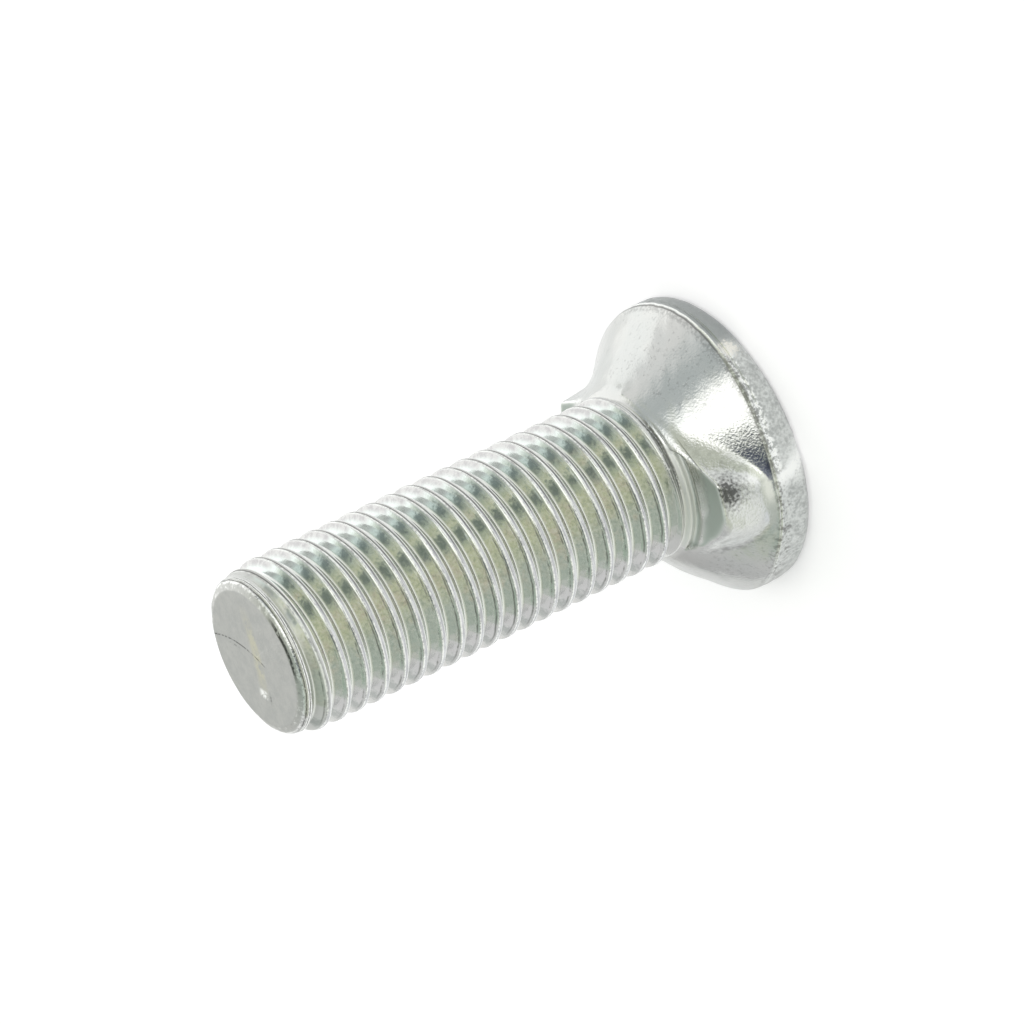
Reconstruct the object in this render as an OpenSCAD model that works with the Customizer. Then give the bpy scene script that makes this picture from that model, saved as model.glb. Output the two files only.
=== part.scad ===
// Plow bolt: a flat countersunk head with two opposed nibs under it, on a shank that is threaded
// all the way. It is forged and thread-rolled as one piece, and stands on its flat head face with
// the thread pointing up. The nibs lie along X, with their crisp flanks both on the +Y side, and
// the origin is the centre of the head face.

/* [Bolt] */
// Overall length, from the head face to the tip
bolt_length = 50; // [40:1:120]

/* [Head] */
// Diameter of the rim
head_d = 28; // [26:0.5:32]
// Height of the rim, from the head face to the cone
rim_h = 3; // [2:0.1:4.5]
// Included angle of the cone
cone_angle = 90; // [84:1:100]
// Rounding between the head face and the rim
face_edge_r = 0.6; // [0.3:0.1:1.2]
// Rounding between the rim and the cone
cone_edge_r = 0.5; // [0.2:0.1:1]

/* [Nibs] */
// Distance from the axis to the nose of a nib, at its end face
nib_reach = 12.3; // [11.4:0.1:12.5]
// Width of the cone's foot that stays free in front of a nib
nib_land = 0.45; // [0.3:0.05:0.6]
// Angle by which the fuller flank leans out towards the head face
nib_lean = 13; // [6:0.5:14]
// Draft of the crisp flank
nib_draft = 3; // [1:0.5:6]
// Width on the crisp side of the middle line, where a nib leaves the shank
crisp_side_w = 4.35; // [3.6:0.05:4.8]
// Width on the fuller side, there
full_side_w = 4.85; // [4.2:0.05:5.4]
// Angle by which each flank closes in towards the nose
nib_taper = 20.5; // [14:0.5:22]
// Rounding between the nose and the crisp flank
crisp_corner_r = 0.5; // [0.3:0.1:1]
// Rounding between the nose and the fuller flank
full_corner_r = 2.1; // [1.2:0.1:2.4]
// Depth of a nib's end face below the edge where the cone meets the neck
nib_drop = 0.7; // [0.4:0.1:1.2]

/* [Thread] */
// Nominal diameter of the thread
thread_d = 16; // [14:0.5:18]
// Pitch
pitch = 2; // [1.5:0.25:2.5]
// Amount by which the crests stay below the nominal diameter
crest_allowance = 0.16; // [0:0.02:0.3]
// Angle about the axis from a nib to the crest that ends level with the tip
thread_turn = 47; // [0:1:359]
// Diameter of the plain blank that the thread is rolled on
blank_d = 14.6; // [14:0.1:15]
// Length over which the thread runs out at the neck
runout_l = 0.6; // [0.3:0.1:1.5]
// Height of the neck's hollow fillet
neck_fillet_h = 0.7; // [0.4:0.1:1.2]

/* [Tip] */
// Diameter of the flat end face
tip_d = 12.84; // [11:0.02:13.5]
// Height of the plain collar below the end face
collar_h = 0.9; // [0.5:0.1:2]
// Length over which the first crests rise to their full height
crest_lead = 2.3; // [1:0.1:4]
// Length over which the first groove sinks to its full depth
groove_lead = 0.8; // [0.4:0.1:2]

/* [Hidden] */

// Facets in a turn of the thread, and of the round parts
thread_sides = 40;
round_sides = 96;
// Segments in each rounded corner of a nib, and in each half of its nose
corner_steps = 6;
nose_steps = 4;
// Segments in a rounded edge of the head, and rings in the collar's rounded edge
edge_steps = 6;
collar_steps = 3;
// Depth by which the shank is sunk into the head, and its clearance inside the cone there
shank_sink = 0.6;
neck_step = 0.05;
// Amount by which the narrow neck over a nib is wider than the thread's crests
neck_play = 0.1;
// Thread rows closer than this to an end of the thread are drawn onto it
row_snap = pitch / 40;

// Head: the cone runs from the rim's top to the neck
head_r = head_d / 2;
cone_half = cone_angle / 2;
crest_r = (thread_d - crest_allowance) / 2;
neck_r = crest_r;
neck_z = rim_h + (head_r - neck_r) / tan(cone_half);

// Nibs: inside their outline the cone's top edge is cut back, so that a narrow neck stands on
// the end face
nib_top = neck_z - nib_drop;
nib_foot_reach = head_r - nib_land;
neck_foot_r = neck_r + neck_play;

// Thread: metric form, with 60 degrees between the flanks, a depth of 0.6134 pitches and crests
// an eighth of a pitch wide at the nominal diameter
flank_half = 30;
thread_depth = 0.6134 * pitch;
root_r = thread_d / 2 - thread_depth;
flank_w = (crest_r - root_r) * tan(flank_half);
crest_w = pitch / 8 + crest_allowance * tan(flank_half);
root_w = pitch - crest_w - 2 * flank_w;
blank_r = blank_d / 2;
thread_top = bolt_length - collar_h;
// Heights of the four rows of a turn above the middle of a crest, and which rows are on it
row_rise = [-(pitch + root_w) / 2, -(pitch - root_w) / 2, -crest_w / 2, crest_w / 2];
row_on_crest = [false, false, true, true];
row_count = len(row_rise);
// The middle of the first crest lies far enough down for its rows to be inside the head
crest_level = bolt_length - pitch * thread_turn / 360;
turns_down = ceil((crest_level - neck_z) / pitch) + 2;
first_crest = crest_level - turns_down * pitch;
turns = ceil((thread_top - first_crest) / pitch) + 2;
last_row = turns * row_count - 1;

// Share from 0 to 1 of the way that x is into a stretch of the given length
function share(x, stretch) = max(0, min(1, x / stretch));

// Radius of the plain shank at height z, with the hollow fillet that rises to it from the neck
function shank_r(z) =
    blank_r + (neck_r - neck_step - blank_r) * pow(1 - share(z - neck_z, neck_fillet_h), 2);

// Radius of the thread at height z, on its crest or in its groove, which fades out at both ends
function thread_r(z, on_crest) =
    let (
        full = on_crest ? crest_r : root_r,
        lead = on_crest ? crest_lead : groove_lead,
        end_z = on_crest ? neck_z : neck_z + neck_fillet_h,
        depth = share(thread_top - z, lead) * share(z - end_z, runout_l)
    )
    shank_r(z) + depth * (full - shank_r(z));

// Height of a row of the helix in one column, and the row's point there
function row_z(column, row) =
    first_crest + pitch * (floor(row / row_count) + column / thread_sides)
    + row_rise[row % row_count];
function ring_point(column, r, z) =
    [r * cos(360 * column / thread_sides), r * sin(360 * column / thread_sides), z];
function row_point(column, row) =
    let (z = row_z(column, row))
    ring_point(column, thread_r(z, row_on_crest[row % row_count]), z);

// Level rings below and above the helix: radius and height of each, from the foot to the tip
rings = concat(
    [[neck_r - neck_step, neck_z - shank_sink], [neck_r - neck_step, neck_z]],
    [
        for (step = [0 : collar_steps])
            let (a = 90 * step / collar_steps)
            [
                tip_d / 2 + (blank_r - tip_d / 2) * cos(a),
                thread_top + collar_h * sin(a)
            ]
    ]
);
foot_ring = 0;
neck_ring = 1;
top_ring = 2;
tip_ring = len(rings) - 1;

// Number of a point: a row that lies past an end of the thread shares the ring there.
// The column after the last one is the first one, a whole turn of rows further up.
function ring_index(column, ring) =
    thread_sides * (last_row + 1) + ring * thread_sides + column % thread_sides;
function row_index(column, row) =
    column == thread_sides ? row_index(0, row + row_count)
    : row_z(column, row) < neck_z + row_snap ? ring_index(column, neck_ring)
    : row_z(column, row) > thread_top - row_snap ? ring_index(column, top_ring)
    : column * (last_row + 1) + row;

// The two triangles of a cell, without the one that has no area
function cell(a, b, c, d) = [
    for (t = [[a, b, c], [a, c, d]])
        if (t[0] != t[1] && t[1] != t[2] && t[2] != t[0]) t
];

module threaded_shank() {
    helix_points = [
        for (column = [0 : thread_sides - 1])
            for (row = [0 : last_row]) row_point(column, row)
    ];
    ring_points = [
        for (ring = rings)
            for (column = [0 : thread_sides - 1]) ring_point(column, ring[0], ring[1])
    ];
    helix_faces = [
        for (column = [0 : thread_sides - 1])
            for (row = [0 : last_row - row_count - 1])
                each cell(
                    row_index(column, row),
                    row_index(column, row + 1),
                    row_index(column + 1, row + 1),
                    row_index(column + 1, row)
                )
    ];
    ring_faces = [
        for (ring = [foot_ring, for (above = [top_ring : tip_ring - 1]) above])
            for (column = [0 : thread_sides - 1])
                each cell(
                    ring_index(column, ring),
                    ring_index(column, ring + 1),
                    ring_index(column + 1, ring + 1),
                    ring_index(column + 1, ring)
                )
    ];
    foot_face = [for (column = [0 : thread_sides - 1]) ring_index(column, foot_ring)];
    tip_face = [for (column = [0 : thread_sides - 1]) ring_index(-column + thread_sides, tip_ring)];
    polyhedron(
        points = concat(helix_points, ring_points),
        faces = concat(helix_faces, ring_faces, [foot_face], [tip_face]),
        convexity = 10
    );
}

module head() {
    // Distance from the cone's foot down to where the rim starts to round
    cone_edge_l = cone_edge_r * tan(cone_half / 2);
    rotate_extrude($fn = round_sides)
        polygon(concat(
            [[0, 0]],
            [
                for (step = [0 : edge_steps])
                    let (a = -90 + 90 * step / edge_steps)
                    [
                        head_r - face_edge_r + face_edge_r * cos(a),
                        face_edge_r + face_edge_r * sin(a)
                    ]
            ],
            [
                for (step = [0 : edge_steps])
                    let (a = cone_half * step / edge_steps)
                    [
                        head_r - cone_edge_r + cone_edge_r * cos(a),
                        rim_h - cone_edge_l + cone_edge_r * sin(a)
                    ]
            ],
            [[neck_r, neck_z], [0, neck_z]]
        ));
}

// Half of a nib's outline, seen along the axis, as far as the middle of the nose: the flank, a
// rounded corner that touches it and the nose, and the nose, which is round about the axis
function half_outline(side_w, reach, corner_r) =
    let (
        axis_w = side_w + tan(nib_taper) * neck_r,
        inset = axis_w * cos(nib_taper) - corner_r,
        along = sqrt(pow(reach - corner_r, 2) - pow(inset, 2)),
        center = [
            inset * sin(nib_taper) + along * cos(nib_taper),
            inset * cos(nib_taper) - along * sin(nib_taper)
        ],
        flank_a = 90 - nib_taper,
        nose_a = atan2(center[1], center[0])
    )
    concat(
        [[0, axis_w]],
        [
            for (step = [0 : corner_steps])
                let (a = flank_a + (nose_a - flank_a) * step / corner_steps)
                center + corner_r * [cos(a), sin(a)]
        ],
        [
            for (step = [1 : nose_steps])
                let (a = nose_a * (1 - step / nose_steps))
                reach * [cos(a), sin(a)]
        ]
    );

// The whole outline at height z: the crisp side, and the fuller side turned over and run back.
// The nose leans out from its reach at the end face to the cone's foot.
function nib_outline(z) =
    let (
        drop = nib_top - z,
        reach = nib_reach + (nib_foot_reach - nib_reach) * drop / (nib_top - rim_h),
        crisp = half_outline(crisp_side_w + tan(nib_draft) * drop, reach, crisp_corner_r),
        full = half_outline(full_side_w + tan(nib_lean) * drop, reach, full_corner_r),
        last = len(full) - 1
    )
    concat(crisp, [for (k = [1 : last]) [full[last - k][0], -full[last - k][1]]]);

// A nib is lofted from its outline at the rim to the one at its end face
module nib() {
    foot = nib_outline(rim_h);
    end = nib_outline(nib_top);
    count = len(end);
    polyhedron(
        points = concat(
            [for (p = foot) [p[0], p[1], rim_h]],
            [for (p = end) [p[0], p[1], nib_top]]
        ),
        faces = concat(
            [
                for (k = [0 : count - 1])
                    let (after = (k + 1) % count)
                    each cell(k, after, count + after, count + k)
            ],
            [[for (k = [0 : count - 1]) count - 1 - k]],
            [[for (k = [0 : count - 1]) count + k]]
        )
    );
}

// What is cut from the cone's top edge above a nib's end face
module neck_cut() {
    translate([0, 0, nib_top])
        difference() {
            linear_extrude(height = neck_z) polygon(nib_outline(nib_top));
            cylinder(h = 2 * neck_z, r = neck_foot_r, center = true, $fn = round_sides);
        }
}

module plow_bolt() {
    color("silver")
        union() {
            difference() {
                head();
                for (side = [0, 1])
                    mirror([side, 0, 0]) neck_cut();
            }
            for (side = [0, 1])
                mirror([side, 0, 0]) nib();
            threaded_shank();
        }
}

plow_bolt();
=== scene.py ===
"""Plow bolt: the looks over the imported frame.

The bolt is one piece of steel, so it is one mesh. Three surfaces share their edge rings: the head
with its nibs, the helix of the thread, and the rounded tip. All of them are worked out as whole
arrays in millimetres, in the frame's own axes, and put into the mesh in metres.
"""

import math

import bmesh
import bpy
import numpy as np
from mathutils import Matrix, Vector


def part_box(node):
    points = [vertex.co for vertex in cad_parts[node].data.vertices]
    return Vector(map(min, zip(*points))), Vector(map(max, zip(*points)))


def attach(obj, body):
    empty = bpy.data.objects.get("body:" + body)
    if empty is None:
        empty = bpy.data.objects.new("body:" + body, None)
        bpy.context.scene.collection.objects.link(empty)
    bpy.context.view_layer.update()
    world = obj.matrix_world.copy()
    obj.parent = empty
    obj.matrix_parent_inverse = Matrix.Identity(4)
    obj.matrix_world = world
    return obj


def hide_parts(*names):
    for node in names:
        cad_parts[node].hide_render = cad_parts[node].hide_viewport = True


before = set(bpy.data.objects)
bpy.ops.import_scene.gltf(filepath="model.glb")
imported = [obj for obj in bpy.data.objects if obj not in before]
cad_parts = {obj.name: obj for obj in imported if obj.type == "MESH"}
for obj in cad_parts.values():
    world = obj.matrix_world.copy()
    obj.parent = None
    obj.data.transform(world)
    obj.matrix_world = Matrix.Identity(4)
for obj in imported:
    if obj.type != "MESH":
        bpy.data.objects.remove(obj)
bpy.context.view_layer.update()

FULL_TURN = 2 * math.pi
MM_PER_M = 1000.0

# Sizes that come from the frame, in millimetres
BOLT_LOW, BOLT_HIGH = (np.array(corner) * MM_PER_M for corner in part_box("plow_bolt"))
LENGTH = BOLT_HIGH[2] - BOLT_LOW[2]
HEAD_R = (BOLT_HIGH[0] - BOLT_LOW[0]) / 2

# Thread: pitch, crest, root and blank radius, and the height of its last crest at angle 0
PITCH = 2.0
CREST_R = 7.92
ROOT_R = 6.773
BLANK_R = 7.3
FIRST_CREST = LENGTH - 4.27

# The crest's form: its shift and half width, its dome, and the rounding of its edges and the root
CREST_SHIFT = 0.03
CREST_HALF = 0.235
CREST_DOME = 0.55
TIP_SIDE_ROUND = 0.13
HEAD_SIDE_ROUND = 0.10
ROOT_ROUND = 0.17

# Lap and burr: distance from the crest's middle and half width, and the burr's height
LAP_AT, LAP_W = 0.30, 0.04
BURR_AT, BURR_W, BURR_H = 0.22, 0.045, 0.012

# Ends of the thread: the collar above it, the lengths over which crests and grooves fade out
# towards the tip, and the run-out in the neck
COLLAR_H = 0.9
THREAD_TOP = LENGTH - COLLAR_H
CREST_LEAD = 2.3
GROOVE_LEAD = 0.8
CREST_START = 0.1
RUNOUT_L = 0.7

# Tip's collar: radius at the end face, its swell, the depth over which it swells, and the radius
# that its unevenness is taken at
COLLAR_END_R = 6.42
COLLAR_SWELL = 0.86
COLLAR_EDGE_L = 0.62
COLLAR_R = 7.2

# Neck and cone
NECK_R = 7.92
NECK_Z = 9.08
NECK_FOOT_R = 8.03
NECK_FILLET_H = 0.75
CONE_FOOT_R = 13.8
CONE_FOOT_Z = 2.95
CONE_BULGE = 0.30

# Lip and rim: the lip's swell outwards and upwards at the nibs, its rise beside the first nib's
# fuller flank, its rounding, and how far the rim lies inside the head's widest radius
SWELL_TURN = 0.10
LIP_SWELL_R = 0.14
LIP_SWELL_Z = 0.58
LIP_RISE = 0.58
LIP_R = 0.45
LIP_DROP = 0.35
RIM_INSET = 0.13
RIM_SWELL = 0.11
FACE_EDGE_R = 1.05

# Groove of the trimmed flash: distance under the lip, half width and depth
FLASH_AT, FLASH_W, FLASH_DEPTH = 0.62, 0.09, 0.10

# Nibs: end face and nose; each flank's half width at NIB_X from the axis, and its gain for every
# millimetre further in and further down; and what the second nib has more at its crisp flank
NIB_TOP = 8.38
NOSE_R, NOSE_LEAN = 12.32, 0.24
NIB_X = 10
CRISP_Y, CRISP_CLOSE, CRISP_GAIN = 3.56, 0.3825, 0.05
FULL_Y, FULL_CLOSE, FULL_GAIN = 4.11, 0.364, 0.20
SECOND_MORE, SECOND_GAIN = 0.25, 0.05

# Roundings of the nibs' corners and end edges, and of the fillets at their feet
TIGHT_CORNER_R, TIGHT_CORNER_GAIN = 0.28, 0.14
BROAD_CORNER_R, BROAD_CORNER_MORE, BROAD_CORNER_H = 2.1, 1.0, 3.0
NIB_EDGE_R, SOFT_EDGE_MORE = 0.12, 0.75
FILLET_MIN, FILLET_MORE = 0.35, 1.25

# Grid
SHANK_COLUMNS = 160
HEAD_COLUMNS = 2 * SHANK_COLUMNS
MERGE_M = 2e-7

# Places across one pitch where the profile is sampled, closest at the crest's edges and the lap
ROW_PLACES = np.array([
    -0.93, -0.85, -0.58, -0.36, -0.30, -0.24, -0.11, 0.03, 0.11,
    0.17, 0.22, 0.26, 0.30, 0.34, 0.55, 0.76, 0.86, 0.97,
])

# The collar's rings by their depth below the end face, and the end face's rings by their radius
COLLAR_DEPTHS = np.array([
    0.84, 0.78, 0.72, 0.66, 0.58, 0.50, 0.44, 0.38,
    0.30, 0.22, 0.15, 0.10, 0.06, 0.03, 0.01, 0.0,
])
FLAT_RADII = np.array([6.30, 6.0, 5.5, 4.8, 4.0, 3.2, 2.4, 1.6, 0.8])

# Camera: what it looks at, its place about that, and its turn about its own line of sight
LENS_MM = 221.24
SENSOR_MM = 36.0
CAMERA_TARGET = (-0.948, 1.546, 21.704)
CAMERA_AZIMUTH = 31.5
CAMERA_ELEVATION = 26.23
CAMERA_ROLL = -115.65
CAMERA_DISTANCE = 553.0

# Colours of the plain zinc, and the bright white of flecks and painted highlights
ZINC = (0.61, 0.615, 0.60)
ZINC_COOL = (0.57, 0.585, 0.575)
BRIGHT = (0.94, 0.95, 0.94)

# Colours of the thread: the film on its flanks, whose tints by side are partly painted reflection
# # and painted light, a greyer side, dark rows that are partly stains and partly painted dark
# # reflection, and the crests
FILM_GREEN = (0.555, 0.595, 0.555)
FILM_AND_REFLECTION_YELLOW = (0.625, 0.645, 0.515)
FILM_WARM = (0.64, 0.60, 0.53)
FILM_LIGHT = (0.69, 0.70, 0.64)
FILM_DEEP = (0.46, 0.49, 0.44)
FLANK_PAINTED_PALE = (0.72, 0.78, 0.76)
STAIN_AND_REFLECTION_HALO = (0.45, 0.52, 0.50)
STAIN_AND_REFLECTION_DARK = (0.25, 0.285, 0.275)
FLANK_REFLECTION_GREY = (0.69, 0.69, 0.685)
SIDE_GREY_DARK = (0.46, 0.455, 0.46)
SIDE_GREY_LIGHT = (0.56, 0.56, 0.555)
CREST_DULL = (0.41, 0.415, 0.43)
CREST_PALE = (0.68, 0.69, 0.70)

# Colours of the forged head, among them painted shade for its side past the first nib, the rim's
# # top and the nibs' end faces, and painted light and highlights for the first nose's foot and the rim
SKIN_SHADE = (0.30, 0.305, 0.295)
SKIN_DEEP = (0.27, 0.275, 0.27)
SKIN_DARK = (0.39, 0.405, 0.40)
SKIN_LIGHT = (0.66, 0.68, 0.67)
SLATE_SHADE = (0.27, 0.29, 0.29)
LIP_DARK = (0.15, 0.145, 0.14)
CREAM_HIGHLIGHT = (0.86, 0.84, 0.78)
NIB_END_SHADE = (0.52, 0.57, 0.54)
FOOT_PAINTED_PALE = (0.56, 0.58, 0.615)
FOOT_HIGHLIGHT = (0.96, 0.95, 1.0)

# Colours of the tip's end face, and of the residue in grooves, which is also the painted shade in
# # the thread's roots and the tip collar's grooves
END_DARK = (0.43, 0.44, 0.43)
END_LIGHT = (0.49, 0.495, 0.48)
STREAK = (0.60, 0.58, 0.42)
RESIDUE_AND_SHADE = (0.035, 0.036, 0.034)

# Spots, as place and radius: a cream painted highlight on the rim, a pale spot of painted light
# # and a scorched spot on the first nib's nose
CREAM_HIGHLIGHT_PLACE, CREAM_HIGHLIGHT_R = (7.05, 12.15, 1.75), 1.2
NOSE_LIGHT_PLACE, NOSE_LIGHT_R = (12.7, -0.8, 6.6), 2.6
SCORCH_PLACE, SCORCH_R, SCORCH_HALO_R = (12.35, 1.9, 7.55), 1.6, 2.3

# Sectors about the axis, in degrees: the middle, and the angles from it to where the sector is
# still full and to where it has ended
FAR_SIDE = (106, 18, 56)
SLATE_RIM_SHADE = (90, 21, 34)
UPPER_LIP = (90, 24, 42)
LOWER_LIP = (34, 19, 31)
LIP_FLECKS = (34, 16, 32)
LIP_FAINT = (-15, 25, 45)
LIP_SPECKS = (-35, 34, 52)
CONE_SHADE = (-95, 28, 68)
CONE_DENTS = [(80, 18, 40), (-48, 36, 52)]

# Rows of dark marks along the thread, partly stains and partly painted dark reflection: angle about
# # the axis and half width in degrees, and strength
STAIN_AND_REFLECTION_ROWS = [
    (47.5, 8, 1.0), (71.5, 8, 1.0), (147, 9, 0.6),
    (226, 11, 0.9), (251, 9, 0.7), (312, 9, 0.5),
]
# Dark rings, painted shade in the tip collar's grooves and at its edge, and dark lines about the
# # neck: height and half width, the angle that they are strongest at, their spread, strength
DARK_RINGS = [
    (9.90, 0.14, 45, 38, 0.6),
    (9.38, 0.16, 38, 34, 0.75),
    (8.42, 0.07, 14, 30, 0.6),
    (LENGTH - 0.08, 0.09, 28, 30, 0.9),
    (LENGTH - 0.45, 0.08, 40, 150, 0.75),
    (LENGTH - 0.76, 0.06, 40, 180, 0.8),
]
# Bright rings, painted highlights on the tip collar's beads and about the neck: height and half width
HIGHLIGHT_RINGS = [
    (9.65, 0.08), (LENGTH - 0.30, 0.07), (LENGTH - 0.66, 0.06), (LENGTH - 0.86, 0.06),
]
# How fine the marks of the rolling dies are round the axis, across a flank and from turn to turn
ROLLED_FINENESS = (20.0, 9.0, 0.7)

# Roughness: the plain zinc's two ends, the grooves, and each part in the order it is laid over
PLAIN_GLOSS = (0.13, 0.25)
GROOVE_GLOSS = 0.55
PART_GLOSS = {
    "flank": 0.16, "crest": 0.26, "forged": 0.27, "edges": 0.40,
    "bevel": 0.38, "nib_end": 0.65, "lap": 0.55,
}

# Relief in millimetres, on the thread and elsewhere
GRAIN_THREAD, GRAIN_PLAIN, GRAIN_ROUGHER = 0.005, 0.017, 0.018
PEEL_THREAD, PEEL_PLAIN, PEEL_FORGED = 0.003, 0.009, 0.060
ROLLED_H = 0.014
SEAM_DEPTH = 0.03
BUMP_UNIT_M = 0.001

# Paper and room. Sides of the room: azimuth from the camera's, elevation, inner and outer radius
# in degrees, colour
PAPER_HALF_M = 3.0
PAPER = (0.80, 0.785, 0.82)
PAPER_GLOW = 0.40
ROOM_COLOUR = (0.74, 0.77, 0.66)
STUDIO_SIDES = [
    ("left_screen", -120, 58, 20, 35, (0.55, 0.63, 0.56)),
    ("left_wall", -150, 10, 31, 36, (0.80, 0.80, 0.80)),
    ("far_wall", 180, 20, 25, 33, (0.92, 0.92, 0.90)),
    ("right_gap", 84, 46, 10, 30, (0.66, 0.70, 0.70)),
    ("right_side", 110, 22, 14, 26, (1.05, 1.05, 1.04)),
    ("right_softbox", 146, 22, 24, 31, (1.45, 1.45, 1.43)),
    ("key_softbox", 33, 61, 12, 22, (2.00, 2.00, 1.96)),
    ("lens_shade", -45, 60, 7, 20, (0.04, 0.05, 0.11)),
    ("front_card", 2, 34, 6, 16, (1.50, 1.50, 1.47)),
]


def smooth_step(x, low, high):
    """0 below low, 1 above high, and 3t^2 - 2t^3 between them."""
    t = np.clip((x - low) / (high - low), 0, 1)
    return t * t * (3 - 2 * t)


def hump(x, middle, width):
    """A bell: exp(-((x - middle) / width)^2)."""
    return np.exp(-(((x - middle) / width) ** 2))


def waves(points, size, seed, count=24):
    """Smooth unevenness, mostly between -1 and 1: a sum of sines in random directions whose
    lengths are 0.6 to 1.6 times the given size."""
    rng = np.random.default_rng(seed)
    way = rng.normal(size=(count, 3))
    way /= np.linalg.norm(way, axis=1)[:, None]
    length = size * rng.uniform(0.6, 1.6, count)
    phase = rng.uniform(0, FULL_TURN, count)
    total = np.zeros(points.shape[:-1])
    for k in range(count):
        total += np.sin(points @ (way[k] * FULL_TURN / length[k]) + phase[k])
    return total / math.sqrt(count)


def smooth_lower(a, b, k):
    """The lower of a and b, rounded over where they come within k of each other."""
    share = np.clip(0.5 + 0.5 * (a - b) / k, 0, 1)
    return a * (1 - share) + b * share - k * share * (1 - share)


def on_axis(r, angle, z):
    """Point at radius r, angle and height z."""
    return np.stack([r * np.cos(angle), r * np.sin(angle), z + 0 * angle + 0 * r], -1)


def column_angles(count):
    """Angles of a ring's columns, spread evenly."""
    return np.arange(count) * FULL_TURN / count


# ---- thread


def crest_offset(angle, z):
    """Distance along the axis from the nearest crest's middle, positive towards the tip."""
    crest = FIRST_CREST + PITCH * angle / FULL_TURN
    return (z - crest + PITCH / 2) % PITCH - PITCH / 2


def thread_form(p, angle, z):
    """Radius of the full thread at distance p from a crest's middle: a slightly domed crest,
    60 degrees between the flanks and a rounded root. High on the tip side's flank runs a lap, a
    ragged fold left by the rolling dies, with a low burr beside it."""
    q = p + CREST_SHIFT
    flank = CREST_R - (np.abs(q) - CREST_HALF) * math.sqrt(3)
    dome = CREST_R + 0.005 - CREST_DOME * q * q
    r = smooth_lower(flank, dome, np.where(q > 0, TIP_SIDE_ROUND, HEAD_SIDE_ROUND))
    r = -smooth_lower(-r, -(ROOT_R + 0.01) + 0 * r, ROOT_ROUND)
    where = on_axis(CREST_R, angle, z)
    patchy = np.clip(0.5 + 0.8 * waves(where, 3.4, 11), 0, 1)
    fine = waves(where, 0.6, 12)
    r = r - (0.010 + 0.030 * patchy + 0.010 * fine) * hump(p, LAP_AT, LAP_W)
    r = r + BURR_H * patchy * hump(p, BURR_AT, BURR_W)
    return r + 0.005 * fine * hump(p, 0, 0.3)


def shank_radius(angle, z):
    """Radius of the shank: the thread between its run-out in the neck and its lead at the tip."""
    p = crest_offset(angle, z)
    full = thread_form(p, angle, z)
    rise = 1 - np.clip((z - NECK_Z) / NECK_FILLET_H, 0, 1)
    blank = BLANK_R + (NECK_R - BLANK_R) * rise**2
    above = full > blank
    lead = np.where(above, CREST_LEAD, GROOVE_LEAD)
    from_tip = smooth_step(THREAD_TOP - z, -0.25 * lead, lead)
    start = np.where(above, NECK_Z + CREST_START, NECK_Z + NECK_FILLET_H)
    from_neck = smooth_step(z, start, start + RUNOUT_L)
    return blank + from_tip * from_neck * (full - blank)


def shank_grid():
    """Rows follow the helix: row j of a column lies at first crest + pitch * (turn + angle / full
    turn) + its place, held between the two ends, so that the last column is the first one a whole
    turn of rows further up."""
    down = math.ceil((FIRST_CREST - NECK_Z) / PITCH) + 1
    up = math.ceil((THREAD_TOP - FIRST_CREST) / PITCH) + 1
    per_turn = len(ROW_PLACES)
    row = np.arange((down + up + 1) * per_turn)
    offset = FIRST_CREST + PITCH * (row // per_turn - down) + ROW_PLACES[row % per_turn]
    angle = column_angles(SHANK_COLUMNS)[:, None]
    z = offset[None, :] + PITCH * angle / FULL_TURN
    return angle + 0 * z, np.clip(z, NECK_Z, THREAD_TOP), per_turn


# ---- tip


def tip_rings():
    """Rings from the thread's top to the middle of the end face: a collar whose radius grows with
    the depth t as end radius + swell * sin(quarter turn * t / edge length)^0.8, with two grooves
    and two beads that the thread's first turn left, and the flat end face. Returned as arrays of
    angle, radius and height, ring by ring, for each column."""
    angle = column_angles(SHANK_COLUMNS)
    t = COLLAR_DEPTHS[:, None] + 0 * angle
    start = shank_radius(angle, THREAD_TOP + 0 * angle)
    slope = 0.28 * (1 - ((angle / FULL_TURN + 0.22) % 1.0))
    quarter = np.clip(t / COLLAR_EDGE_L, 0, 1) * math.pi / 2
    ring = COLLAR_END_R + COLLAR_SWELL * np.sin(quarter) ** 0.8
    patchy = 0.6 + 0.4 * waves(on_axis(COLLAR_R, angle, LENGTH), 3.0, 21)
    ring = ring - 0.05 * patchy * hump(t, 0.45 + slope * 0.3, 0.06) - 0.05 * hump(t, 0.76, 0.04)
    ring = ring + 0.03 * hump(t, 0.30, 0.06) + 0.03 * hump(t, 0.63, 0.06)
    blend = smooth_step(t, 0.55, COLLAR_H)
    ring = ring * (1 - blend) + start * blend
    ring = ring + 0.02 * waves(on_axis(COLLAR_R, angle + 0 * t, LENGTH - t), 1.6, 22) * (t > 0)
    flat = FLAT_RADII[:, None] + 0 * angle
    r = np.concatenate([ring, flat])
    z = np.concatenate([LENGTH - t, LENGTH + 0 * flat])
    return angle + 0 * r, r, z


# ---- head


def round_join(a, b, radius):
    """Union of two solids given by their distances a and b, with a fillet of the given radius."""
    return np.maximum(radius, np.minimum(a, b)) - np.hypot(
        np.maximum(radius - a, 0), np.maximum(radius - b, 0)
    )


def round_edge(a, b, radius):
    """Common part of two solids given by their distances, with its edge rounded."""
    return np.minimum(-radius, np.maximum(a, b)) + np.hypot(
        np.maximum(radius + a, 0), np.maximum(radius + b, 0)
    )


def nib_swell(angle):
    """1 at the nibs and -1 half way between them, turned a little: cos 2 (angle - swell turn)."""
    return np.cos(2 * (angle - SWELL_TURN))


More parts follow.
